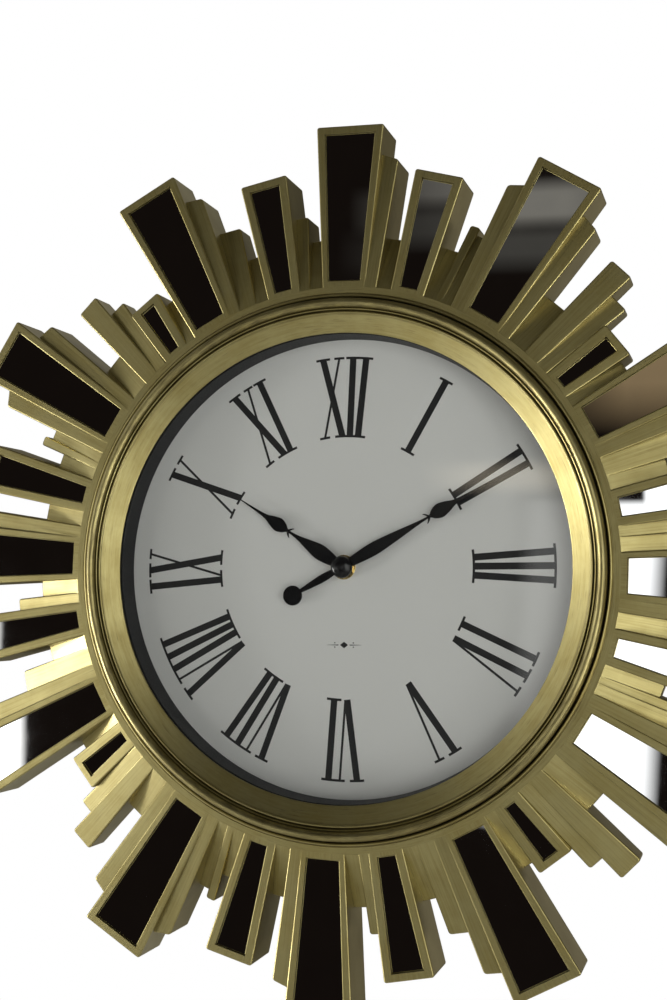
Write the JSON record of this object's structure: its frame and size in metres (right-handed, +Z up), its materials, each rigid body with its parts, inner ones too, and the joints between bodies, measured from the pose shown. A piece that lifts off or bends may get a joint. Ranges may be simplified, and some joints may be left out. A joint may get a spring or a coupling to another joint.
{
  "type": "wall clock",
  "caption": "Round wall clock: Roman-numeral dial behind glass in a stepped gold bezel, ringed by a sunburst frame of stepped bars, some inlaid with mirror strips; quartz movement inside.",
  "frame": {"origin": "on the hands' axis, in the wall plane that the movement cover and the rear pan's rim lie in", "axes": "+Z up towards XII, -Y out of the dial towards the viewer, +Y into the wall, +X towards III"},
  "size_m": [0.5116, 0.0444, 0.5116],
  "materials": {
    "gold": "cast resin, brushed antique champagne-gold paint",
    "mirror": "silvered glass strip with ground edges",
    "lens": "clear flat glass",
    "black_plastic": "black moulded plastic",
    "dial": "printed off-white sheet",
    "black_paint": "black lacquer",
    "brass": "turned",
    "white_plastic": "natural acetal",
    "steel": "zinc plated",
    "copper": "enamelled copper wire",
    "board": "green solder mask",
    "cell": "plain dark grey sleeve"
  },
  "bodies": {
    "clock_body": {"sunburst_frame": "gold", "bezel_ring": "gold", "lens_glass": "lens", "rehaut_ring": "black_plastic", "dial_plate": "dial", "rear_pan": "black_plastic", "fixing_nut": "brass", "dial_washer": "brass", "centre_bush": "brass", "movement_front_case": "black_plastic", "movement_rear_cover": "black_plastic", "train_bridge": "white_plastic", "stator_plate": "steel", "coil_core": "steel", "coil": "copper", "circuit_board": "board", "aa_cell": "cell", "positive_contact": "steel", "negative_contact": "steel", "hanger_plate": "steel", "hanger_screw_1": "steel", "hanger_screw_2": "steel", "pan_screw_1": "steel", "pan_screw_2": "steel", "pan_screw_3": "steel", "mirror_long_01": "mirror", "mirror_long_02": "mirror", "mirror_long_03": "mirror", "mirror_long_04": "mirror", "mirror_long_05": "mirror", "mirror_long_06": "mirror", "mirror_long_07": "mirror", "mirror_long_08": "mirror", "mirror_long_09": "mirror", "mirror_long_10": "mirror", "mirror_long_11": "mirror", "mirror_long_12": "mirror", "mirror_medium_01": "mirror", "mirror_medium_02": "mirror", "mirror_medium_03": "mirror", "mirror_medium_04": "mirror", "mirror_medium_05": "mirror", "mirror_medium_06": "mirror", "mirror_medium_07": "mirror", "mirror_medium_08": "mirror", "mirror_short_01": "mirror", "mirror_short_02": "mirror", "mirror_short_03": "mirror", "mirror_short_04": "mirror"},
    "minute_hand_group": {"minute_arbor": "brass", "minute_hand": "black_paint", "minute_cap_nut": "black_paint"},
    "hour_hand_group": {"hour_wheel": "white_plastic", "hour_hand": "black_paint"},
    "minute_wheel_body": {"minute_wheel": "white_plastic"},
    "setting_knob_body": {"setting_knob": "white_plastic"},
    "centre_wheel_body": {"centre_wheel": "white_plastic"},
    "third_wheel_body": {"third_wheel": "white_plastic"},
    "fourth_wheel_body": {"fourth_wheel": "white_plastic"},
    "rotor_body": {"rotor": "steel"}
  },
  "joints": [
    {"name": "minute_hand_turn", "type": "hinge", "parent": "clock_body", "child": "minute_hand_group", "pos_m": [0, 0, 0], "axis": [0, 1, 0], "continuous": true},
    {"name": "hour_hand_turn", "type": "hinge", "parent": "clock_body", "child": "hour_hand_group", "pos_m": [0, 0, 0], "axis": [0, 1, 0], "continuous": true},
    {"name": "minute_wheel_turn", "type": "hinge", "parent": "clock_body", "child": "minute_wheel_body", "pos_m": [-0.00866, 0, 0.005], "axis": [0, 1, 0], "continuous": true},
    {"name": "setting_knob_turn", "type": "hinge", "parent": "clock_body", "child": "setting_knob_body", "pos_m": [-0.01391, 0, 0.01409], "axis": [0, 1, 0], "continuous": true},
    {"name": "rotor_turn", "type": "hinge", "parent": "clock_body", "child": "rotor_body", "pos_m": [0.01905, 0, 0.00618], "axis": [0, 1, 0], "continuous": true},
    {"name": "fourth_wheel_turn", "type": "hinge", "parent": "clock_body", "child": "fourth_wheel_body", "pos_m": [0.01172, 0, 0.00885], "axis": [0, 1, 0], "continuous": true},
    {"name": "third_wheel_turn", "type": "hinge", "parent": "clock_body", "child": "third_wheel_body", "pos_m": [0.00782, 0, 0.0021], "axis": [0, 1, 0], "continuous": true},
    {"name": "centre_wheel_turn", "type": "hinge", "parent": "clock_body", "child": "centre_wheel_body", "pos_m": [0, 0, 0], "axis": [0, 1, 0], "continuous": true}
  ],
  "couplings": [
    {"joint": "hour_hand_turn", "follows": "minute_hand_turn", "ratio": 0.083333},
    {"joint": "minute_wheel_turn", "follows": "minute_hand_turn", "ratio": -0.33333},
    {"joint": "setting_knob_turn", "follows": "minute_hand_turn", "ratio": 0.83333},
    {"joint": "fourth_wheel_turn", "follows": "rotor_turn", "ratio": -0.083333},
    {"joint": "third_wheel_turn", "follows": "rotor_turn", "ratio": 0.0069444},
    {"joint": "centre_wheel_turn", "follows": "rotor_turn", "ratio": -0.00055556}
  ]
}
